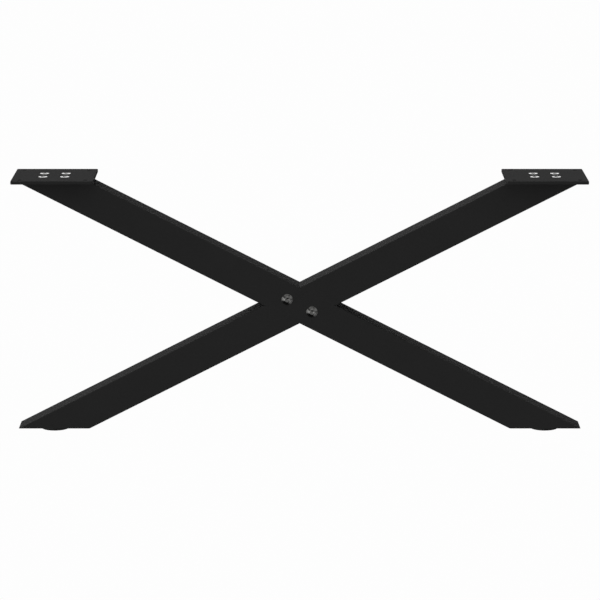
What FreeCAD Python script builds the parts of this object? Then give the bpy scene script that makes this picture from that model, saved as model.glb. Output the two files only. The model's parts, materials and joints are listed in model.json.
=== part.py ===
import FreeCAD, Part
import math
import os
import Sketcher

# X shaped table leg: two square tubes, half-lapped and screwed together where they cross.
# Each top end carries a screwed-on mounting plate, and each bottom end stands on a glide.
# Millimetres, +Z up, +X along the width, front towards -Y.
# The origin is on the floor, under the middle of the leg.

doc = FreeCAD.newDocument("TableLeg")

# driving dimensions: name, value, what it is
size_rows = (
    ("overall_width", "700", "outer edge of one mounting plate to the outer edge of the other"),
    ("tip_inset", "2.5", "from a mounting plate's outer edge in to the tip of its tube"),
    ("arm_height", "310", "between the level cuts at the bottom and top of the tubes"),
    ("tube_side", "40", "square tube, outside"),
    ("tube_wall", "1.5", "square tube, wall"),
    ("tube_corner", "1.0", "square tube, outer corner radius"),
    ("tube_inner_corner", "0.5", "square tube, inner corner radius"),
    ("lap_clearance", "0.25", "each side of a tube, in the other tube's notch"),
    ("weld_clearance", "0.15", "round a plate that is welded inside a tube"),
    ("fit_clearance", "0.05", "radial, between a thread or a head and its seat"),
    ("pass_clearance", "0.3", "radial, between a screw and a plain hole"),
    ("plate_side", "100", "mounting plate, square"),
    ("plate_thickness", "4", "mounting plate"),
    ("plate_corner", "2", "mounting plate, corner radius"),
    ("plate_bevel", "0.4", "mounting plate, broken edge"),
    ("table_hole", "5.5", "hole for a table top screw"),
    ("table_hole_inset", "10", "from the plate's edge in to the middle of a table top screw"),
    ("nut_plate_thickness", "6", "tapped plate welded into a top end"),
    ("foot_plate_thickness", "4", "tapped plate welded into a bottom end"),
    ("plate_screw_inset", "5.25", "from the tube's inner wall to the middle of a plate screw"),
    ("plate_screw_thread", "6", "plate screw, thread diameter"),
    ("plate_screw_head", "11.5", "plate screw, countersunk head diameter"),
    ("plate_screw_length", "10", "plate screw, head included"),
    ("plate_screw_socket", "4", "plate screw, hexagon across flats"),
    ("plate_screw_socket_depth", "2.2", "plate screw, hexagon depth"),
    ("joint_screw_thread", "6", "joint screw, thread diameter"),
    ("joint_screw_length", "14", "joint screw, under the head"),
    ("joint_screw_flange", "13.6", "joint screw, flange diameter"),
    ("joint_screw_flange_height", "1.0", "joint screw, flange height"),
    ("joint_screw_dome", "10.8", "joint screw, dome diameter"),
    ("joint_screw_head_height", "3.4", "joint screw, head height with its flange"),
    ("joint_screw_crown", "0.6", "joint screw, flat ring round the corners of the socket"),
    ("joint_screw_socket", "4", "joint screw, hexagon across flats"),
    ("joint_screw_socket_depth", "2.1", "joint screw, hexagon depth"),
    ("standoff_diameter", "9", "threaded standoff inside the crossing"),
    ("standoff_thread_depth", "18", "standoff, depth of the tapped hole"),
    ("glide_diameter", "35", "glide"),
    ("glide_thickness", "3.5", "glide, below the tube"),
    ("glide_edge", "0.8", "glide, bevel of the lower edge"),
    ("glide_screw_thread", "5", "glide screw, thread diameter"),
    ("glide_screw_head", "9.2", "glide screw, countersunk head diameter"),
    ("glide_screw_length", "10", "glide screw, head included"),
    ("glide_screw_socket", "3", "glide screw, hexagon across flats"),
    ("glide_screw_socket_depth", "1.8", "glide screw, hexagon depth"),
    ("glide_screw_recess", "0.5", "how far the screw head stays above the floor"),
)

# places that follow from the sizes: name, formula
layout_rows = (
    ("arm_span", "=Sizes.overall_width - 2 * Sizes.tip_inset"),
    ("diagonal", "=sqrt(arm_span ^ 2 + Sizes.arm_height ^ 2)"),
    ("arm_angle", "=atan(Sizes.arm_height / arm_span) + asin(Sizes.tube_side / diagonal)"),
    ("cut_length", "=Sizes.tube_side / sin(arm_angle)"),
    ("wall_run", "=Sizes.tube_wall / sin(arm_angle)"),
    ("tip_reach", "=(Sizes.arm_height + Sizes.tube_side * cos(arm_angle)) / 2 / sin(arm_angle)"),
    ("heel_reach", "=(Sizes.arm_height - Sizes.tube_side * cos(arm_angle)) / 2 / sin(arm_angle)"),
    ("notch_reach", "=(Sizes.tube_side / 2 + Sizes.lap_clearance) / sin(2 * arm_angle)"),
    ("tube_inside", "=Sizes.tube_side - 2 * Sizes.tube_wall"),
    ("end_plate_reach", "=cut_length / 2 - wall_run - Sizes.weld_clearance / sin(arm_angle)"),
    ("end_plate_width", "=tube_inside - 2 * Sizes.weld_clearance"),
    ("end_centre", "=(arm_span - cut_length) / 2"),
    ("plate_centre", "=(Sizes.overall_width - Sizes.plate_side) / 2"),
    ("plate_screw_spacing", "=tube_inside - 2 * Sizes.plate_screw_inset"),
    ("table_hole_spacing", "=Sizes.plate_side - 2 * Sizes.table_hole_inset"),
    ("low_cut", "=Sizes.glide_thickness"),
    ("high_cut", "=low_cut + Sizes.arm_height"),
    ("crossing_level", "=(low_cut + high_cut) / 2"),
    ("top_level", "=high_cut + Sizes.plate_thickness"),
    ("standoff_reach", "=(tube_inside - Sizes.standoff_diameter) / 2 - Sizes.weld_clearance"),
    ("joint_screw_offset", "=standoff_reach / sin(2 * arm_angle)"),
    ("joint_screw_across", "=joint_screw_offset * cos(arm_angle)"),
    ("joint_screw_rise", "=joint_screw_offset * sin(arm_angle)"),
)

# how far a cutting outline runs past what it cuts
overrun = 3

# two places nearer than this are the same place
touching = 0.001


def fill_sheet(name, rows):
    sheet = doc.addObject("Spreadsheet::Sheet", name)
    for line, row in enumerate(rows, 1):
        sheet.set(f"A{line}", row[0])
        sheet.set(f"B{line}", row[1])
        sheet.setAlias(f"B{line}", row[0])
        if len(row) > 2:
            sheet.set(f"C{line}", row[2])
    doc.recompute()
    return sheet


sizes = fill_sheet("Sizes", size_rows)
layout = fill_sheet("Layout", layout_rows)
pieces = []


def number(expression):
    result = layout.evalExpression(str(expression))
    return float(getattr(result, "Value", result))


def bind(owner, **expressions):
    for name, expression in expressions.items():
        owner.setExpression(name.replace("__", "."), str(expression))


def new_body(label):
    body = doc.addObject("PartDesign::Body", label)
    body.Label = label
    pieces.append(body)
    return body


def place(piece, x="0", y="0", z="0", axis=(0, 0, 1), angle="0"):
    # moves a piece to x, y, z, turned by angle degrees about axis
    turn = FreeCAD.Rotation(FreeCAD.Vector(*axis), number(angle))
    piece.Placement = FreeCAD.Placement(FreeCAD.Vector(number(x), number(y), number(z)), turn)
    bind(piece, Placement__Base__x=x, Placement__Base__y=y, Placement__Base__z=z)
    if angle != "0":
        bind(piece, Placement__Rotation__Angle=angle)


def sketch_on(body, plane):
    sketch = body.newObject("Sketcher::SketchObject", body.Label + "_sketch")
    planes = [item for item in body.Origin.OriginFeatures if item.Role == plane]
    sketch.AttachmentSupport = [(planes[0], "")]
    sketch.MapMode = "FlatFace"
    return sketch


def hold(sketch, kind, where, expression):
    # adds a dimension and ties it to the sizes
    index = sketch.addConstraint(Sketcher.Constraint(kind, *where, number(expression)))
    sketch.setExpression(f"Constraints[{index}]", str(expression))


def pin_point(sketch, line, end, x, y):
    # fixes one point of the sketch at x, y; a zero puts it on the sketch's axis
    for kind, axis, expression in (("DistanceX", -2, x), ("DistanceY", -1, y)):
        if expression == "0":
            sketch.addConstraint(Sketcher.Constraint("PointOnObject", line, end, axis))
        else:
            hold(sketch, kind, (-1, 1, line, end), expression)


def add_outline(sketch, points, domes=()):
    # closed outline through the points; a stretch named in domes is an arc centred on the vertical axis
    places = [FreeCAD.Vector(number(x), number(y), 0) for x, y in points]
    first = sketch.GeometryCount
    count = len(points)
    for step, (begin, finish) in enumerate(zip(places, places[1:] + places[:1])):
        if step in domes:
            centre_y = (begin.dot(begin) - finish.dot(finish)) / (2 * (begin.y - finish.y))
            centre = FreeCAD.Vector(0, centre_y, 0)
            middle = (begin + finish) / 2 - centre
            middle = centre + middle * ((begin - centre).Length / middle.Length)
            sketch.addGeometry(Part.Arc(begin, middle, finish))
        else:
            sketch.addGeometry(Part.LineSegment(begin, finish))
    for step in range(count):
        here = first + step
        after = first + (step + 1) % count
        # an arc that runs clockwise keeps its ends the other way round
        end = 1 if step in domes else 2
        start = 2 if (step + 1) % count in domes else 1
        sketch.addConstraint(Sketcher.Constraint("Coincident", here, end, after, start))
        pin_point(sketch, here, 2 if step in domes else 1, *points[step])
        if step in domes:
            sketch.addConstraint(Sketcher.Constraint("PointOnObject", here, 3, -2))


def add_rounded_rectangle(sketch, width, depth, radius):
    # rectangle centred on the sketch's origin, with its four corners rounded
    half_w = number(width) / 2
    half_d = number(depth) / 2
    r = number(radius)
    first = sketch.GeometryCount
    corners = ((half_w, -half_d), (half_w, half_d), (-half_w, half_d), (-half_w, -half_d))
    for turn, (x, y) in enumerate(corners):
        centre = FreeCAD.Vector(x - r if x > 0 else x + r, y - r if y > 0 else y + r, 0)
        begin = math.radians(90 * turn - 90)
        circle = Part.Circle(centre, FreeCAD.Vector(0, 0, 1), r)
        sketch.addGeometry(Part.ArcOfCircle(circle, begin, begin + math.radians(90)))
    for turn in range(4):
        here = sketch.Geometry[first + turn].EndPoint
        after = sketch.Geometry[first + (turn + 1) % 4].StartPoint
        sketch.addGeometry(Part.LineSegment(here, after))
    for turn in range(4):
        arc = first + turn
        side = first + 4 + turn
        sketch.addConstraint(Sketcher.Constraint("Tangent", arc, 2, side, 1))
        sketch.addConstraint(Sketcher.Constraint("Tangent", side, 2, first + (turn + 1) % 4, 1))
        sketch.addConstraint(Sketcher.Constraint("Horizontal" if turn % 2 else "Vertical", side))
        if turn:
            sketch.addConstraint(Sketcher.Constraint("Equal", first, arc))
    hold(sketch, "Radius", (first,), radius)
    right, upper, left, lower = range(first + 4, first + 8)
    hold(sketch, "DistanceX", (-1, 1, right, 1), f"({width}) / 2")
    hold(sketch, "DistanceY", (-1, 1, upper, 1), f"({depth}) / 2")
    hold(sketch, "DistanceX", (left, 1, -1, 1), f"({width}) / 2")
    hold(sketch, "DistanceY", (lower, 1, -1, 1), f"({depth}) / 2")


def add_circle(sketch, x, y, diameter):
    middle = FreeCAD.Vector(number(x), number(y), 0)
    circle = sketch.addGeometry(Part.Circle(middle, FreeCAD.Vector(0, 0, 1), number(diameter) / 2))
    pin_point(sketch, circle, 3, x, y)
    hold(sketch, "Diameter", (circle,), diameter)


def add_feature(body, kind, sketch, length=None, side="One side", backwards=False):
    feature = body.newObject("PartDesign::" + kind, body.Label + "_" + kind.lower())
    feature.Profile = sketch
    feature.SideType = side
    feature.Reversed = backwards
    if length is None:
        feature.Type = "ThroughAll"
    else:
        bind(feature, Length=length)
    return feature


def revolve(body, sketch):
    feature = body.newObject("PartDesign::Revolution", body.Label + "_turning")
    feature.Profile = sketch
    feature.ReferenceAxis = (sketch, ["V_Axis"])
    feature.Angle = 360
    return feature


def repeat_square(body, feature, sketch, spacing):
    # two by two copies of a hole, spacing apart along both directions of its sketch
    pattern = body.newObject("PartDesign::LinearPattern", body.Label + "_pattern")
    pattern.Originals = [feature]
    pattern.Direction = (sketch, ["H_Axis"])
    pattern.Direction2 = (sketch, ["V_Axis"])
    pattern.Occurrences = 2
    pattern.Occurrences2 = 2
    bind(pattern, Length=spacing, Length2=spacing)
    body.Tip = pattern


def add_hexagon(body, plane_level, across, depth):
    # hexagon socket sunk from the top of a head
    sketch = sketch_on(body, "XY_Plane")
    bind(sketch, AttachmentOffset__Base__z=plane_level)
    corner = f"{across} / sqrt(3)"
    points = []
    for step in range(6):
        turn = 60 * step + 30
        points.append((f"{corner} * cos({turn} deg)", f"{corner} * sin({turn} deg)"))
    points[1] = ("0", points[1][1])
    points[4] = ("0", points[4][1])
    add_outline(sketch, points)
    add_feature(body, "Pocket", sketch, depth)


# the two crossing tubes

def make_tube(label, lean):
    # lean is 1 for the front tube, which falls to the right, and -1 for the rear one, which rises
    tube = new_body(label)
    profile = sketch_on(tube, "YZ_Plane")
    add_rounded_rectangle(profile, "Sizes.tube_side", "Sizes.tube_side", "Sizes.tube_corner")
    add_rounded_rectangle(profile, "Layout.tube_inside", "Layout.tube_inside", "Sizes.tube_inner_corner")
    add_feature(tube, "Pad", profile, "2 * Layout.tip_reach", "Symmetric")

    # both ends are sawn level
    saw = sketch_on(tube, "XZ_Plane")
    edge = f"(Sizes.tube_side / 2 + {overrun})"
    run = f"{overrun} / tan(Layout.arm_angle)"
    for end in (1, -1):
        tip = f"{end} * (Layout.tip_reach + {run})"
        heel = f"{end} * (Layout.heel_reach - {run})"
        upper = f"{end * lean} * {edge}"
        lower = f"{-end * lean} * {edge}"
        add_outline(saw, ((tip, upper), (heel, lower), (tip, lower)))
    add_feature(tube, "Pocket", saw, None, "Symmetric")

    # notch of half the tube's depth for the other tube, which crosses at twice the arm's angle
    notch = sketch_on(tube, "XZ_Plane")
    slope = f"{edge} / tan(2 * Layout.arm_angle)"
    add_outline(notch, (
        (f"{lean} * {slope} - Layout.notch_reach", edge),
        (f"{-lean} * {slope} - Layout.notch_reach", f"-{edge}"),
        (f"{-lean} * {slope} + Layout.notch_reach", f"-{edge}"),
        (f"{lean} * {slope} + Layout.notch_reach", edge),
    ))
    add_feature(tube, "Pocket", notch, f"Sizes.tube_side / 2 + {overrun}", backwards=lean < 0)
    place(tube, z="Layout.crossing_level", axis=(0, 1, 0), angle=f"{lean} * Layout.arm_angle")
    return tube


front_tube = make_tube("front_tube", 1)
rear_tube = make_tube("rear_tube", -1)

# plain holes for the joint screws, through the front wall only
drill = sketch_on(front_tube, "XZ_Plane")
for way in (-1, 1):
    across = "Sizes.joint_screw_thread + 2 * Sizes.pass_clearance"
    add_circle(drill, f"{way} * Layout.joint_screw_offset", "0", across)
add_feature(front_tube, "Pocket", drill, f"Sizes.tube_side / 2 + {overrun}", backwards=True)


# mounting plates and the tapped plates in the tube ends

def make_mounting_plate(label, side):
    plate = new_body(label)
    outline = sketch_on(plate, "XY_Plane")
    add_rounded_rectangle(outline, "Sizes.plate_side", "Sizes.plate_side", "Sizes.plate_corner")
    slab = add_feature(plate, "Pad", outline, "Sizes.plate_thickness", backwards=True)
    doc.recompute()
    levels = (0, -number("Sizes.plate_thickness"))
    rims = [
        f"Edge{index}" for index, edge in enumerate(slab.Shape.Edges, 1)
        if any(abs(edge.BoundBox.ZMin - z) + abs(edge.BoundBox.ZMax - z) < touching for z in levels)
    ]
    bevel = plate.newObject("PartDesign::Chamfer", label + "_bevel")
    bevel.Base = (slab, rims)
    bind(bevel, Size="Sizes.plate_bevel")

    # holes for the screws that go up into the table top
    table_drill = sketch_on(plate, "XY_Plane")
    corner = "-Layout.table_hole_spacing / 2"
    add_circle(table_drill, corner, corner, "Sizes.table_hole")
    table_hole = add_feature(plate, "Pocket", table_drill)
    repeat_square(plate, table_hole, table_drill, "Layout.table_hole_spacing")

    # countersunk holes for the screws that go down into the tapped plate
    screw_drill = sketch_on(plate, "XY_Plane")
    corner = "-Layout.plate_screw_spacing / 2"
    shank = "Sizes.plate_screw_thread + 2 * Sizes.pass_clearance"
    add_circle(screw_drill, corner, corner, shank)
    doc.recompute()
    hole = plate.newObject("PartDesign::Hole", label + "_hole")
    hole.Profile = screw_drill
    hole.DepthType = "ThroughAll"
    hole.HoleCutType = "Countersink"
    hole.HoleCutCustomValues = True
    hole.HoleCutCountersinkAngle = 90
    bind(hole, Diameter=shank)
    bind(hole, HoleCutDiameter="Sizes.plate_screw_head + 2 * Sizes.fit_clearance")
    doc.recompute()
    repeat_square(plate, hole, screw_drill, "Layout.plate_screw_spacing")
    place(plate, f"{side} * Layout.plate_centre", z="Layout.top_level")


def make_end_plate(label, side, top):
    # fills the mouth of a tube, flush with the level cut; its two ends slant with the tube
    plate = new_body(label)
    thickness = "Sizes.nut_plate_thickness" if top else "Sizes.foot_plate_thickness"
    level = f"-{thickness}" if top else thickness
    shift = f"{-side} * {thickness} / tan(Layout.arm_angle)"
    section = sketch_on(plate, "XZ_Plane")
    add_outline(section, (
        ("-Layout.end_plate_reach", "0"),
        ("Layout.end_plate_reach", "0"),
        (f"Layout.end_plate_reach + {shift}", level),
        (f"{shift} - Layout.end_plate_reach", level),
    ))
    add_feature(plate, "Pad", section, "Layout.end_plate_width", "Symmetric")

    drill = sketch_on(plate, "XY_Plane")
    if top:
        off_centre = f"{side} * (Layout.plate_centre - Layout.end_centre)"
        corner = f"{off_centre} - Layout.plate_screw_spacing / 2"
        bore = "Sizes.plate_screw_thread + 2 * Sizes.fit_clearance"
        add_circle(drill, corner, "-Layout.plate_screw_spacing / 2", bore)
        tapped = add_feature(plate, "Pocket", drill, None, "Symmetric")
        repeat_square(plate, tapped, drill, "Layout.plate_screw_spacing")
    else:
        bore = "Sizes.glide_screw_thread + 2 * Sizes.fit_clearance"
        add_circle(drill, "0", "0", bore)
        add_feature(plate, "Pocket", drill, None, "Symmetric")
    level = "Layout.high_cut" if top else "Layout.low_cut"
    place(plate, f"{side} * Layout.end_centre", z=level)


# screws

def make_countersunk_screw(label, size):
    # top of the head at the origin, thread downwards
    screw = new_body(label)
    head = f"Sizes.{size}_head / 2"
    thread = f"Sizes.{size}_thread / 2"
    length = f"Sizes.{size}_length"
    half = sketch_on(screw, "XZ_Plane")
    add_outline(half, (
        ("0", "0"),
        (head, "0"),
        (thread, f"{thread} - {head}"),
        (thread, f"-{length}"),
        ("0", f"-{length}"),
    ))
    revolve(screw, half)
    add_hexagon(screw, "0", f"Sizes.{size}_socket", f"Sizes.{size}_socket_depth")
    return screw


def make_joint_screw(label):
    # underside of the flange at the origin, thread downwards
    screw = new_body(label)
    crown = "(Sizes.joint_screw_socket / sqrt(3) + Sizes.joint_screw_crown)"
    thread = "Sizes.joint_screw_thread / 2"
    length = "Sizes.joint_screw_length"
    half = sketch_on(screw, "XZ_Plane")
    add_outline(half, (
        ("0", "Sizes.joint_screw_head_height"),
        (crown, "Sizes.joint_screw_head_height"),
        ("Sizes.joint_screw_dome / 2", "Sizes.joint_screw_flange_height"),
        ("Sizes.joint_screw_flange / 2", "Sizes.joint_screw_flange_height / 2"),
        ("Sizes.joint_screw_flange / 2", "0"),
        (thread, "0"),
        (thread, f"-{length}"),
        ("0", f"-{length}"),
    ), domes=(1,))
    revolve(screw, half)
    socket = ("Sizes.joint_screw_socket", "Sizes.joint_screw_socket_depth")
    add_hexagon(screw, "Sizes.joint_screw_head_height", *socket)
    return screw


def make_standoff(label):
    # turned rod with a tapped hole from its front face at the origin; it keeps the two tubes' walls apart,
    # and its bevels clear the rounding in the corner of the rear tube
    standoff = new_body(label)
    rim = "Sizes.standoff_diameter / 2"
    bore = "(Sizes.joint_screw_thread / 2 + Sizes.fit_clearance)"
    floor = "-Sizes.standoff_thread_depth"
    bevel = "Sizes.tube_inner_corner"
    back = "Layout.tube_inside"
    half = sketch_on(standoff, "XZ_Plane")
    add_outline(half, (
        (bore, "0"),
        (f"{rim} - {bevel}", "0"),
        (rim, f"-{bevel}"),
        (rim, f"{bevel} - {back}"),
        (f"{rim} - {bevel}", f"-{back}"),
        ("0", f"-{back}"),
        ("0", f"{floor} - {bore} / sqrt(3)"),
        (bore, floor),
    ))
    revolve(standoff, half)
    return standoff


for name, way in (("upper", -1), ("lower", 1)):
    x = f"{way} * Layout.joint_screw_across"
    z = f"Layout.crossing_level - {way} * Layout.joint_screw_rise"
    place(make_joint_screw(name + "_joint_screw"), x, "-Sizes.tube_side / 2", z, (1, 0, 0), "90")
    place(make_standoff(name + "_standoff"), x, "-Layout.tube_inside / 2", z, (1, 0, 0), "90")


# glides

def make_glide(label, side):
    # disc with a bevelled lower edge and a countersunk hole from below
    glide = new_body(label)
    rim = "Sizes.glide_diameter / 2"
    edge = "Sizes.glide_edge"
    head = "(Sizes.glide_screw_head / 2 + Sizes.fit_clearance)"
    hole = "(Sizes.glide_screw_thread / 2 + Sizes.pass_clearance)"
    seat = "Sizes.glide_screw_recess"
    half = sketch_on(glide, "XZ_Plane")
    add_outline(half, (
        (hole, "Sizes.glide_thickness"),
        (hole, f"{seat} + {head} - {hole}"),
        (head, seat),
        (head, "0"),
        (f"{rim} - {edge}", "0"),
        (rim, edge),
        (rim, "Sizes.glide_thickness"),
    ))
    revolve(glide, half)
    place(glide, f"{side} * Layout.end_centre")


for name, side in (("left", -1), ("right", 1)):
    make_mounting_plate(name + "_mounting_plate", side)
    make_end_plate(name + "_nut_plate", side, True)
    make_end_plate(name + "_foot_plate", side, False)
    make_glide(name + "_glide", side)
    glide_screw = make_countersunk_screw(name + "_glide_screw", "glide_screw")
    x = f"{side} * Layout.end_centre"
    place(glide_screw, x, z="Sizes.glide_screw_recess", axis=(1, 0, 0), angle="180")
    for index, (across, back) in enumerate(((-1, -1), (1, -1), (-1, 1), (1, 1)), 1):
        plate_screw = make_countersunk_screw(f"{name}_plate_screw_{index}", "plate_screw")
        x = f"{side} * Layout.plate_centre + {across} * Layout.plate_screw_spacing / 2"
        place(plate_screw, x, f"{back} * Layout.plate_screw_spacing / 2", "Layout.top_level")


doc.recompute()

# every object is sound before any file is written
for item in doc.Objects:
    if "Invalid" in item.State or "Error" in item.State:
        raise RuntimeError(f"{item.Label} did not build: {item.State}")
for piece in pieces:
    if piece.Shape.isNull() or not piece.Shape.isValid() or len(piece.Shape.Solids) != 1:
        raise RuntimeError(f"{piece.Label} is not one sound solid")

os.makedirs("parts", exist_ok=True)
for piece in pieces:
    piece.Shape.exportStep(f"parts/{piece.Label}.step")
    print(f"{piece.Label}: {piece.Shape.Volume:.1f} cubic mm")
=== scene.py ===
import json
import math
import bpy
import numpy as np
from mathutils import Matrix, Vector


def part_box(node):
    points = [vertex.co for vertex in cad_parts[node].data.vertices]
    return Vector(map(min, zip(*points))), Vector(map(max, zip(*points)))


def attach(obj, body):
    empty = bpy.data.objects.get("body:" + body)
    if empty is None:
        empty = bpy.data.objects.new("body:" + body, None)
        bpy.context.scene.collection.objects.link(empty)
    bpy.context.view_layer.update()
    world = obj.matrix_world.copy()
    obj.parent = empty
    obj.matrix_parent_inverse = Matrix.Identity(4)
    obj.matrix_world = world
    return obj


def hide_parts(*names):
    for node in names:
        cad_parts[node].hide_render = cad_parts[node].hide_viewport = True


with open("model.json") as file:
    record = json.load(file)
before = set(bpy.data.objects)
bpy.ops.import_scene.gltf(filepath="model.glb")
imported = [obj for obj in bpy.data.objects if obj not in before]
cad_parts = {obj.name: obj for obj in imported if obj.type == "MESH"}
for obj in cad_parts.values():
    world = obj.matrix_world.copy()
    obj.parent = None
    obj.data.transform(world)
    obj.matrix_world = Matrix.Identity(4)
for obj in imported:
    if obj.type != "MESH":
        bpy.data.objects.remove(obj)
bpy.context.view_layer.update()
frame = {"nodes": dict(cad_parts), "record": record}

nodes = frame["nodes"]
sides = ("left", "right")
print("frame loaded:", len(nodes), "pieces")


# shader maths: an expression on sockets adds the nodes that work it out

class Wire:
    # one output socket of a node tree, or the bare tree before its first node
    def __init__(self, tree, socket=None):
        self.tree = tree
        self.socket = socket

    def node(self, kind, settings=None, values=None, output=0):
        # adds a node: its settings first, then numbers, colours or wires for its sockets
        made = self.tree.nodes.new(kind)
        for name, setting in (settings or {}).items():
            setattr(made, name, setting)
        for name, value in (values or {}).items():
            if isinstance(value, Wire):
                self.tree.links.new(value.socket, made.inputs[name])
            else:
                made.inputs[name].default_value = value
        return Wire(self.tree, made.outputs[output])

    def math(self, operation, *values):
        return self.node("ShaderNodeMath", {"operation": operation}, dict(enumerate(values)))

    def __add__(self, other):
        return self.math("ADD", self, other)

    def __radd__(self, other):
        return self.math("ADD", other, self)

    def __sub__(self, other):
        return self.math("SUBTRACT", self, other)

    def __rsub__(self, other):
        return self.math("SUBTRACT", other, self)

    def __mul__(self, other):
        return self.math("MULTIPLY", self, other)

    def __rmul__(self, other):
        return self.math("MULTIPLY", other, self)

    def noise(self, scale, detail, roughness):
        # Cloud of values round 0.5. Its features are about 1 / scale across, detail counts the finer layers
        # over them, and roughness is how strong each layer is against the one before.
        values = {"Vector": self, "Scale": scale, "Detail": detail, "Roughness": roughness}
        return self.node("ShaderNodeTexNoise", None, values)

    def varied(self, middle, change):
        # the middle value, raised and lowered with this cloud
        return middle + change * (self - 0.5)

    def stretched(self, x, y, z):
        # the same place with each direction scaled by itself
        return self.node("ShaderNodeVectorMath", {"operation": "MULTIPLY"}, {0: self, 1: (x, y, z)})

    def blend(self, first, second):
        # colour between two colours, by this value; the Mix node holds its colours in sockets 6, 7 and 2
        return self.node("ShaderNodeMix", {"data_type": "RGBA"}, {0: self, 6: first, 7: second}, 2)

    def bump(self, height, strength, under=None):
        # normal of a surface raised by this value times height, in metres
        values = {"Height": self, "Distance": height, "Strength": strength}
        if under:
            values["Normal"] = under
        return self.node("ShaderNodeBump", None, values)


def objectPlace(tree):
    return tree.node("ShaderNodeTexCoord", output="Object")


def grey(level, tint=(1.0, 1.0, 1.0)):
    return tuple(level * part for part in tint) + (1.0,)


def newFinish(name, surface, constants):
    # surface takes the empty tree and gives the wires that vary; constants go on the shader's own sockets
    finish = bpy.data.materials.new(name)
    finish.use_nodes = True
    tree = finish.node_tree
    shader = tree.nodes["Principled BSDF"]
    for socket, value in constants.items():
        shader.inputs[socket].default_value = value
    for socket, wire in surface(Wire(tree)).items():
        tree.links.new(wire.socket, shader.inputs[socket])
    return finish


# In each finish a cloud is its features to a metre, detail and roughness; a bump is its height and strength;
# roughness is its middle and its change; shares say how much of each cloud, as listed, goes into the colour.

# powder coat: matte black, with the fine sandy skin that the cured powder leaves

powder = {
    "dark": 0.053,
    "light": 0.071,
    "grain": (1900.0, 3.0, 0.6),
    "flow": (240.0, 2.0, 0.5),          # slower waves of the melted coat
    "cloud": (22.0, 2.0, 0.5),          # uneven coat over the length of a tube
    "shares": (0.35, 0.25, 0.4),
    "grainBump": (0.00005, 0.6),
    "flowBump": (0.00009, 0.5),
    "roughness": (0.84, 0.16),
    "specular": 0.05,
}


def powderSurface(tree):
    place = objectPlace(tree)
    grain = place.noise(*powder["grain"])
    flow = place.noise(*powder["flow"])
    cloud = place.noise(*powder["cloud"])
    ofGrain, ofFlow, ofCloud = powder["shares"]
    shade = ofGrain * grain + ofFlow * flow + ofCloud * cloud
    waves = flow.bump(*powder["flowBump"])
    return {
        "Base Color": shade.blend(grey(powder["dark"]), grey(powder["light"])),
        "Roughness": grain.varied(*powder["roughness"]),
        "Normal": grain.bump(*powder["grainBump"], waves),
    }


# zinc: plated steel of the screws, with the fine rings that turning leaves

zinc = {
    "dark": 0.34,
    "light": 0.46,
    "blue": (0.97, 0.99, 1.0),
    "yellow": (1.0, 0.98, 0.93),
    "ringStretch": (2.0, 160.0, 0.0),   # changes round the axis and along the profile
    "rings": (1.0, 2.0, 0.6),
    "cloud": (900.0, 3.0, 0.6),
    "shares": (0.5, 0.5),
    "ringBump": (0.000012, 0.5),
    "roughness": (0.16, 0.10),
}


def zincSurface(tree):
    place = objectPlace(tree)
    turning = tree.node("ShaderNodeTexCoord", output="UV")
    rings = turning.stretched(*zinc["ringStretch"]).noise(*zinc["rings"])
    cloud = place.noise(*zinc["cloud"])
    ofRings, ofCloud = zinc["shares"]
    shade = ofRings * rings + ofCloud * cloud
    return {
        "Base Color": shade.blend(grey(zinc["dark"], zinc["blue"]), grey(zinc["light"], zinc["yellow"])),
        "Roughness": cloud.varied(*zinc["roughness"]),
        "Normal": rings.bump(*zinc["ringBump"]),
    }


# bare steel of the turned standoffs, which lie along Y inside the crossing

steel = {
    "dark": 0.34,
    "light": 0.50,
    "ringStretch": (40.0, 3500.0, 40.0),
    "rings": (1.0, 2.0, 0.6),
    "cloud": (350.0, 3.0, 0.6),
    "shares": (0.4, 0.6),
    "ringBump": (0.00002, 0.6),
    "roughness": (0.38, 0.20),
}


def steelSurface(tree):
    place = objectPlace(tree)
    rings = place.stretched(*steel["ringStretch"]).noise(*steel["rings"])
    cloud = place.noise(*steel["cloud"])
    ofRings, ofCloud = steel["shares"]
    shade = ofRings * rings + ofCloud * cloud
    return {
        "Base Color": shade.blend(grey(steel["dark"]), grey(steel["light"])),
        "Roughness": cloud.varied(*steel["roughness"]),
        "Normal": rings.bump(*steel["ringBump"]),
    }


# glide plastic: moulded black nylon, softly glossy, with faint scuffs from the floor

nylon = {
    "dark": 0.014,
    "light": 0.024,
    "grain": (1500.0, 2.0, 0.5),
    "scuffStretch": (700.0, 700.0 / 12.0, 700.0),
    "scuffs": (1.0, 3.0, 0.6),
    "shares": (0.5, 0.5),
    "grainBump": (0.00003, 0.5),
    "roughness": (0.46, 0.20),
}


def nylonSurface(tree):
    place = objectPlace(tree)
    grain = place.noise(*nylon["grain"])
    scuffs = place.stretched(*nylon["scuffStretch"]).noise(*nylon["scuffs"])
    ofGrain, ofScuffs = nylon["shares"]
    shade = ofGrain * grain + ofScuffs * scuffs
    return {
        "Base Color": shade.blend(grey(nylon["dark"]), grey(nylon["light"])),
        "Roughness": scuffs.varied(*nylon["roughness"]),
        "Normal": grain.bump(*nylon["grainBump"]),
    }


finishes = {
    "powder_coat": newFinish("powder_coat", powderSurface, {"Specular IOR Level": powder["specular"]}),
    "zinc": newFinish("zinc", zincSurface, {"Metallic": 1.0}),
    "bare_steel": newFinish("bare_steel", steelSurface, {"Metallic": 1.0}),
    "glide_plastic": newFinish("glide_plastic", nylonSurface, {}),
}
for part in frame["record"]["subparts"]:
    for slot in nodes[part["node"]].material_slots:
        slot.material = finishes[part["material_slot"]]
print("finishes made:", len(finishes))


# new objects

sharpAngle = 32.0             # degrees between two faces, from which their edge stays sharp


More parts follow.
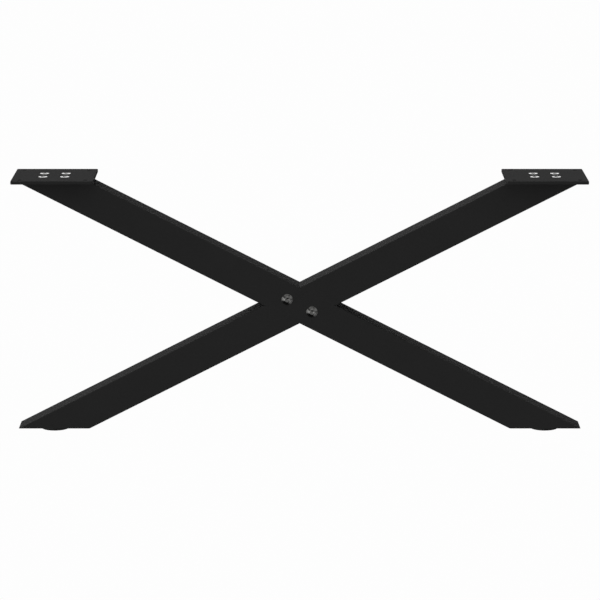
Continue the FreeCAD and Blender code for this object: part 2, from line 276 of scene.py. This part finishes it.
def newObject(name, points, faces, finish):
    mesh = bpy.data.meshes.new(name)
    mesh.from_pydata(points.tolist(), [], faces)
    mesh.materials.append(finish)
    made = bpy.data.objects.new(name, mesh)
    bpy.context.scene.collection.objects.link(made)
    return made


def newPiece(name, points, faces, slotName):
    # a smooth piece of the leg, in the finish of one of the record's slots
    piece = newObject(name, points, faces, finishes[slotName])
    piece.data.polygons.foreach_set("use_smooth", np.ones(len(faces), dtype=bool))
    piece.data.set_sharp_from_angle(angle=math.radians(sharpAngle))
    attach(piece, "root")
    return piece


# turned surfaces

# The floor of a screw's hexagon socket is a flat cone, from near the axis to near the walls. Its sizes are
# shares of half the socket's width.
socketFloor = {
    "middle": 0.12,           # radius, and how far it lies below the walls' foot
    "middleDrop": 0.5,
    "wall": 0.8,
    "wallDrop": 0.1,
}
threadForm = {
    "steep": 1.35,            # slope of the flanks, against those of a plain V
    "root": 0.15,             # of the V's depth, filled
    "rows": 12,               # to a pitch
    "fading": 0.6,            # share of the depth where the bevel of the end begins
}
bevelStart = 0.3              # share of a broken edge or bevel where its first row lies


def run(begin, finish, count=2, hexagon=0.0, thread=(0.0, 0.0)):
    # Straight stretch of a profile from one radius and height to another. Its rows are radius, height, share
    # of hexagon and share of thread.
    return np.linspace(begin + (hexagon, thread[0]), finish + (hexagon, thread[1]), count)


def bend(middle, radius, begin, finish, count):
    # round stretch of a profile: the points middle + radius (cos a, sin a), a from begin to finish in degrees
    a = np.radians(np.linspace(begin, finish, count))
    rows = np.zeros((count, 4))
    rows[:, 0] = middle[0] + radius * np.cos(a)
    rows[:, 1] = middle[1] + radius * np.sin(a)
    return rows


def turnedGrid(profile, steps, pitch=1.0, depth=0.0):
    # Radius and height of a turned surface, a row for each row of the profile and a column for each angle a.
    # The radius is the profile's, times 1 / cos of the angle from the middle of the nearest flat where the
    # profile is a hexagon, less the thread's depth away from its ridge. The ridge climbs one pitch a turn.
    radius, height, hexagon, thread = (column[:, None] for column in profile.T)
    a = np.linspace(0.0, 2.0 * np.pi, steps, endpoint=False)[None, :]
    fromFlat = (a + np.pi / 6.0) % (np.pi / 3.0) - np.pi / 6.0
    flats = 1.0 + hexagon * (1.0 / np.cos(fromFlat) - 1.0)
    climb = (height / pitch - a / (2.0 * np.pi)) % 1.0
    ridge = np.clip(threadForm["steep"] * np.abs(2.0 * climb - 1.0) - threadForm["root"], 0.0, 1.0)
    return radius * flats - depth * thread * (1.0 - ridge), height + 0.0 * a


def turnedPoints(radius, height, closed, at, tilt, spin):
    # The point at an angle a round the axis is (radius cos a, radius sin a, height), spun about that axis,
    # tilted about X and moved to its place. An open profile gets a point on the axis at each end too.
    a = spin + np.linspace(0.0, 2.0 * np.pi, radius.shape[1], endpoint=False)[None, :]
    points = np.stack([radius * np.cos(a), radius * np.sin(a), height], axis=-1).reshape(-1, 3)
    if not closed:
        points = np.concatenate([points, [[0.0, 0.0, height[0, 0]], [0.0, 0.0, height[-1, 0]]]])
    leaned = points[:, 1:] @ np.array([[math.cos(tilt), math.sin(tilt)], [-math.sin(tilt), math.cos(tilt)]])
    return np.column_stack([points[:, 0], leaned]) + np.array(at)


def turnedFaces(rows, steps, closed):
    # Faces with four corners between the rows, and with three round the point at each end of an open profile.
    # Beside them is each corner's share of the turn and of the profile. A closed profile runs back into its
    # first row.
    row, column = np.indices((rows if closed else rows - 1, steps))
    after = (column + 1) % steps
    below = (row + 1) % rows
    corners = (row * steps + column, below * steps + column, below * steps + after, row * steps + after)
    faces = np.stack(corners, axis=-1).reshape(-1, 4).tolist()
    across = np.stack([column, column, column + 1, column + 1], axis=-1).ravel() / steps
    along = np.stack([row, row + 1, row + 1, row], axis=-1).ravel() / rows
    if not closed:
        column = np.arange(steps)
        after = (column + 1) % steps
        first = rows * steps
        last = (rows - 1) * steps
        faces += np.stack([0 * column + first, column, after], axis=-1).tolist()
        faces += np.stack([last + column, 0 * column + first + 1, last + after], axis=-1).tolist()
        top = np.stack([column + 0.5, column, column + 1], axis=-1).ravel() / steps
        foot = np.stack([column, column + 0.5, column + 1], axis=-1).ravel() / steps
        across = np.concatenate([across, top, foot])
        along = np.concatenate([along, np.zeros(3 * steps), np.ones(3 * steps)])
    return faces, np.column_stack([across, along])


def turnedPiece(node, ending, grid, slotName, at, closed=False, tilt=0.0, spin=0.0):
    # a turned surface that stands for one node of the frame
    radius, height = grid
    faces, places = turnedFaces(*radius.shape, closed)
    piece = newPiece(node + ending, turnedPoints(radius, height, closed, at, tilt, spin), faces, slotName)
    piece.data.uv_layers.new(name="turning").data.foreach_set("uv", places.ravel())
    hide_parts(node)


def hexagonSocket(size, top):
    # from the middle of the socket's floor up its walls and over the broken edge
    flat = size["socket"] / 2.0
    floor = top - size["socketDepth"]
    edge = size["socketEdge"]
    corner = flat / math.cos(math.pi / 6.0)
    middle = (socketFloor["middle"] * flat, floor - socketFloor["middleDrop"] * flat)
    wall = (socketFloor["wall"] * flat, floor - socketFloor["wallDrop"] * flat)
    return np.concatenate([
        run(middle, wall, count=4),
        run((flat, floor), (flat, top - edge), count=5, hexagon=1.0),
        run((corner + bevelStart * edge, top - bevelStart * edge), (corner + edge, top)),
    ])


def threadedEnd(size, begin, finish):
    # rows down a threaded shank to the bevel at its end, with the thread running in and out
    radius = size["thread"] / 2.0
    bevel = size["threadEnd"]
    rows = 2 + round((begin - finish - bevel) / size["pitch"] * threadForm["rows"])
    shank = run((radius, begin), (radius, finish + bevel), count=rows, thread=(1.0, 1.0))
    shank[0, 3] = 0.0
    bevelTop = (radius - bevelStart * bevel, finish + (1.0 - bevelStart) * bevel)
    return np.concatenate([
        shank,
        run(bevelTop, (radius - bevel, finish), count=4, thread=(threadForm["fading"], 0.0)),
    ])


# countersunk screws of the mounting plates and the glides

plateScrew = {
    "thread": 0.0060,
    "pitch": 0.0010,
    "threadDepth": 0.00058,
    "threadStart": 0.0001,    # below the head's cone
    "threadEnd": 0.0006,
    "socket": 0.0032,
    "socketDepth": 0.0022,
    "socketEdge": 0.0002,
    "rim": 0.0002,            # straight edge of the head, inside the frame's cone
    "edge": 0.00008,
    "steps": 72,              # round the axis
    "spin": 0.9,              # radians from a screw to the next, and from the left side to the right
    "sideSpin": 2.1,
}
glideScrew = dict(
    plateScrew,
    thread=0.0050,
    pitch=0.0008,
    threadDepth=0.00046,
    socket=0.0030,
    socketDepth=0.0018,
    spin=0.7,
    sideSpin=1.0,
)


def makeCountersunkScrew(node, size, down, spin):
    # from the socket over the flat head, round its edge and down the cone to the shank; the face is at zero
    low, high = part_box(node)
    head = (high.x - low.x) / 2.0
    length = high.z - low.z
    edge = size["edge"]
    rim = size["rim"]
    shoulder = head - rim
    shank = size["thread"] / 2.0
    profile = np.concatenate([
        hexagonSocket(size, 0.0),
        run((shoulder - 3.0 * edge, 0.0), (shoulder - edge, 0.0)),
        bend((shoulder - edge, -edge), edge, 75.0, 0.0, count=4),
        run((shoulder, -rim), (shank, shank - head), count=6),
        threadedEnd(size, shank - head - size["threadStart"], -length),
    ])
    grid = turnedGrid(profile, size["steps"], size["pitch"], size["threadDepth"])
    at = ((low.x + high.x) / 2.0, (low.y + high.y) / 2.0, high.z if down else low.z)
    turnedPiece(node, "_turned", grid, "zinc", at, tilt=0.0 if down else math.pi, spin=spin)


for order, side in enumerate(sides):
    spin = glideScrew["spin"] + glideScrew["sideSpin"] * order
    makeCountersunkScrew(side + "_glide_screw", glideScrew, False, spin)
    for number in range(1, 5):
        spin = plateScrew["spin"] * number + plateScrew["sideSpin"] * order
        makeCountersunkScrew("%s_plate_screw_%d" % (side, number), plateScrew, True, spin)
print("countersunk screws turned")


# flanged button screws through the crossing

jointScrew = {
    "thread": 0.0060,
    "pitch": 0.0010,
    "threadDepth": 0.00058,
    "threadStart": 0.0002,
    "threadEnd": 0.0006,
    "socket": 0.0040,
    "socketDepth": 0.0016,
    "socketEdge": 0.0004,
    "headHeight": 0.0034,
    "flange": 0.0136,
    "flangeHeight": 0.0010,
    "flangeEdge": 0.00022,
    "dome": 0.0124,
    "crown": 0.0006,          # flat ring round the socket
    "steps": 96,
    "spins": {"upper_joint_screw": 0.35, "lower_joint_screw": 0.80},
}


def makeJointScrew(node, spin):
    # the dome is an arc centred on the axis, from the flat crown round the socket to the foot on the flange
    size = jointScrew
    low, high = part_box(node)
    top = size["headHeight"]
    brim = size["flange"] / 2.0
    edge = size["flangeEdge"]
    foot = size["dome"] / 2.0
    step = size["flangeHeight"]
    crown = size["socket"] / 2.0 / math.cos(math.pi / 6.0) + size["crown"]
    middle = (crown ** 2 + top ** 2 - foot ** 2 - step ** 2) / (2.0 * (top - step))
    reach = math.hypot(foot, step - middle)
    begin = math.degrees(math.atan2(top - middle, crown))
    finish = math.degrees(math.atan2(step - middle, foot))
    profile = np.concatenate([
        hexagonSocket(size, top),
        bend((0.0, middle), reach, begin, finish, count=16),
        run((foot + 0.5 * edge, step - 0.3 * edge), (brim - edge, step / 2.0 + edge), count=4),
        bend((brim - edge, step / 2.0), edge, 60.0, 0.0, count=5),
        bend((brim - edge, edge), edge, 0.0, -90.0, count=5),
        run((brim - 2.0 * edge, 0.0), (size["thread"] / 2.0 + edge, 0.0), count=3),
        threadedEnd(size, -size["threadStart"], -(high.y - low.y - top)),
    ])
    grid = turnedGrid(profile, size["steps"], size["pitch"], size["threadDepth"])
    at = ((low.x + high.x) / 2.0, low.y + top, (low.z + high.z) / 2.0)
    turnedPiece(node, "_turned", grid, "zinc", at, tilt=math.pi / 2.0, spin=spin)


for node, spin in jointScrew["spins"].items():
    makeJointScrew(node, spin)
print("joint screws turned")


# glides under the bottom ends

glide = {
    "edge": 0.0011,           # rounding of the lower edge
    "lip": 0.0003,            # rounding of the upper edge
    "head": 0.0093,           # countersunk seat, across
    "hole": 0.0056,
    "seat": 0.0005,           # from the underside up to the cone
    "mouth": 0.0002,          # broken edge of the seat
    "nick": 0.0001,           # broken edges of the cone and the hole
    "steps": 128,
}


def makeGlide(side):
    # ring with a closed profile: down the outer wall, in along the underside, up the seat, out along the top
    node = side + "_glide"
    low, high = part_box(node)
    rim = (high.x - low.x) / 2.0
    top = high.z - low.z
    edge = glide["edge"]
    lip = glide["lip"]
    head = glide["head"] / 2.0
    hole = glide["hole"] / 2.0
    seat = glide["seat"]
    mouth = glide["mouth"]
    nick = glide["nick"]
    coneTop = seat + head - hole
    profile = np.concatenate([
        bend((rim - lip, top - lip), lip, 90.0, 0.0, count=5),
        bend((rim - edge, edge), edge, 0.0, -90.0, count=12),
        run((rim - 2.0 * edge, 0.0), (head + mouth, 0.0), count=8),
        run((head, mouth), (head, seat), count=3),
        run((head - nick, seat + nick), (hole, coneTop), count=5),
        run((hole, coneTop + nick), (hole, top), count=3),
        run((hole + nick, top), (rim - 2.0 * lip, top), count=6),
    ])
    at = ((low.x + high.x) / 2.0, (low.y + high.y) / 2.0, low.z)
    turnedPiece(node, "_moulded", turnedGrid(profile, glide["steps"]), "glide_plastic", at, closed=True)


for side in sides:
    makeGlide(side)
print("glides moulded")


# powder coat that fills the four seams of the half lap, two in front and two behind

lap = {
    "lean": 27.05,            # degrees, of each tube
    "level": 0.1585,          # middle of the crossing
    "side": 0.0400,           # of a tube's section
    "corner": 0.0011,         # left free at a tube's rounded edges
    "gap": 0.00025,
    "bite": 0.00002,          # into the steel beyond the gap
    "edge": 0.00001,          # below the faces where it meets the steel
    "sag": 0.00002,
    "depth": 0.0008,
    "rows": 9,                # over the gap
    "columns": 13,            # along it
}


def makeSeams():
    # A profile carried along a straight line: the coat hangs in a parabola from the unbroken tube's face, over
    # its rounded edge, to the wall of the notch, and straight sides and a floor close it. s runs along the
    # unbroken tube and o away from its middle, so a point's x is s cos lean + o sin lean, and its z is
    # level - s sin lean + o cos lean. The ends lie along the notched tube. Half turns about Y and Z give the
    # other seams.
    lean = math.radians(lap["lean"])
    half = lap["side"] / 2.0
    begin = half - lap["corner"]
    finish = half + lap["gap"] + lap["bite"]
    u = np.linspace(-1.0, 1.0, lap["rows"])
    o = np.append((begin + finish + (finish - begin) * u) / 2.0, (finish, begin))[:, None]
    y = np.append(lap["edge"] + lap["sag"] * (1.0 - u ** 2), (lap["depth"], lap["depth"]))[:, None] - half
    reach = begin / math.sin(2.0 * lean)
    s = o / math.tan(2.0 * lean) + np.linspace(-reach, reach, lap["columns"])[None, :]
    x = s * math.cos(lean) + o * math.sin(lean)
    z = o * math.cos(lean) - s * math.sin(lean)
    front = np.stack([x, y + 0.0 * s, z], axis=-1).reshape(-1, 3)
    turns = np.array([(1, 1, 1), (-1, 1, -1), (-1, -1, 1), (1, -1, -1)])
    points = (turns[:, None, :] * front[None, :, :]).reshape(-1, 3) + (0.0, 0.0, lap["level"])

    rows, steps = s.shape
    row, column = np.indices((rows, steps - 1))
    here = row * steps + column
    below = (row + 1) % rows * steps + column
    walls = np.stack([here, here + 1, below + 1, below], axis=-1).reshape(-1, 4)
    ends = np.array([np.arange(rows) * steps, np.arange(rows)[::-1] * steps + steps - 1])
    faces = []
    for first in range(0, len(points), rows * steps):
        faces += (walls + first).tolist() + (ends + first).tolist()
    newPiece("lap_seams", points, faces, "powder_coat")


makeSeams()
print("seams filled")


# floor, light and camera

# Each lamp: degrees round from the front towards the right, degrees above the level, degrees from its middle
# out to where it starts to fade and to where it ends, and its strength.
stage = {
    "floorSize": 60.0,
    "floorPoints": 3,         # along each side
    "floorGlow": 0.985,
    "room": 0.006,
    "lamps": {
        "backdrop": (180.0, 0.0, 13.0, 19.0, 1.40),
        "window": (-135.0, 50.0, 12.0, 32.0, 2.05),
        "leftBoard": (-115.0, 40.0, 12.0, 35.0, 0.20),
        "leftPanel": (-74.0, -2.0, 12.0, 30.0, 0.52),
        "key": (-34.0, -8.0, 10.0, 26.0, 0.76),
        "front": (14.0, 10.0, 34.0, 62.0, 0.20),
        "rightPanel": (87.0, 26.0, 14.0, 36.0, 0.28),
        "lowBoard": (82.0, -40.0, 12.0, 36.0, 0.32),
        "rail": (-25.0, 62.0, 24.0, 42.0, 0.17),
    },
}


def paperSurface():
    # white to the camera alone, and black to all other rays
    paper = bpy.data.materials.new("floor_paper")
    paper.use_nodes = True
    tree = paper.node_tree
    seen = Wire(tree).node("ShaderNodeLightPath", output="Is Camera Ray")
    glow = seen.node("ShaderNodeEmission", None, {"Strength": seen * stage["floorGlow"]})
    tree.links.new(glow.socket, tree.nodes["Material Output"].inputs["Surface"])
    return paper


def makeFloor():
    # a flat grid of two parameters, x and y, at height zero
    reach = stage["floorSize"] / 2.0
    count = stage["floorPoints"]
    line = np.linspace(-reach, reach, count)
    x, y = np.meshgrid(line, line, indexing="ij")
    points = np.stack([x, y, 0.0 * x], axis=-1).reshape(-1, 3)
    i, j = np.indices((count - 1, count - 1))
    corner = i * count + j
    faces = np.stack([corner, corner + count, corner + count + 1, corner + 1], axis=-1).reshape(-1, 4)
    floor = newObject("floor", points, faces.tolist(), paperSurface())
    floor.visible_diffuse = False
    floor.visible_glossy = False
    floor.visible_shadow = False


def makeSky():
    # a dark studio with soft round lamps all round, and plain white to the camera
    world = bpy.data.worlds.new("studio")
    bpy.context.scene.world = world
    world.use_nodes = True
    tree = world.node_tree
    start = Wire(tree)
    direction = start.node("ShaderNodeTexCoord", output="Generated")
    strength = stage["room"]
    for turn, rise, full, faded, power in stage["lamps"].values():
        a, b, inner, outer = (math.radians(angle) for angle in (turn, rise, full, faded))
        middle = (math.sin(a) * math.cos(b), -math.cos(a) * math.cos(b), math.sin(b))
        pair = {0: direction, 1: middle}
        near = start.node("ShaderNodeVectorMath", {"operation": "DOT_PRODUCT"}, pair, "Value")
        values = {"Value": near, "From Min": math.cos(outer), "From Max": math.cos(inner), "To Max": power}
        strength = start.node("ShaderNodeMapRange", None, values) + strength
    seen = start.node("ShaderNodeLightPath", output="Is Camera Ray")
    shown = strength + seen * (1.0 - strength)
    tree.links.new(shown.socket, tree.nodes["Background"].inputs["Strength"])
    tree.nodes["Background"].inputs["Color"].default_value = grey(1.0)


makeFloor()
makeSky()


view = {
    "lens": 189.0,            # millimetres, as is the sensor
    "sensor": 36.0,
    "distance": 3.886,
    "height": 11.13,          # degrees above the level
    "aim": (0.0004, 0.0, 0.1616),
}


def makeCamera():
    # stands back from the aim along its line of sight, which falls by the angle of view["height"]
    rise = math.radians(view["height"])
    optics = bpy.data.cameras.new("camera")
    optics.lens = view["lens"]
    optics.sensor_width = view["sensor"]
    camera = bpy.data.objects.new("camera", optics)
    x, y, z = view["aim"]
    away = view["distance"]
    camera.location = (x, y - away * math.cos(rise), z + away * math.sin(rise))
    camera.rotation_euler = (math.pi / 2.0 - rise, 0.0, 0.0)
    bpy.context.scene.collection.objects.link(camera)
    bpy.context.scene.camera = camera


makeCamera()
bpy.context.scene.view_settings.view_transform = "Standard"
print("floor, light and camera placed")
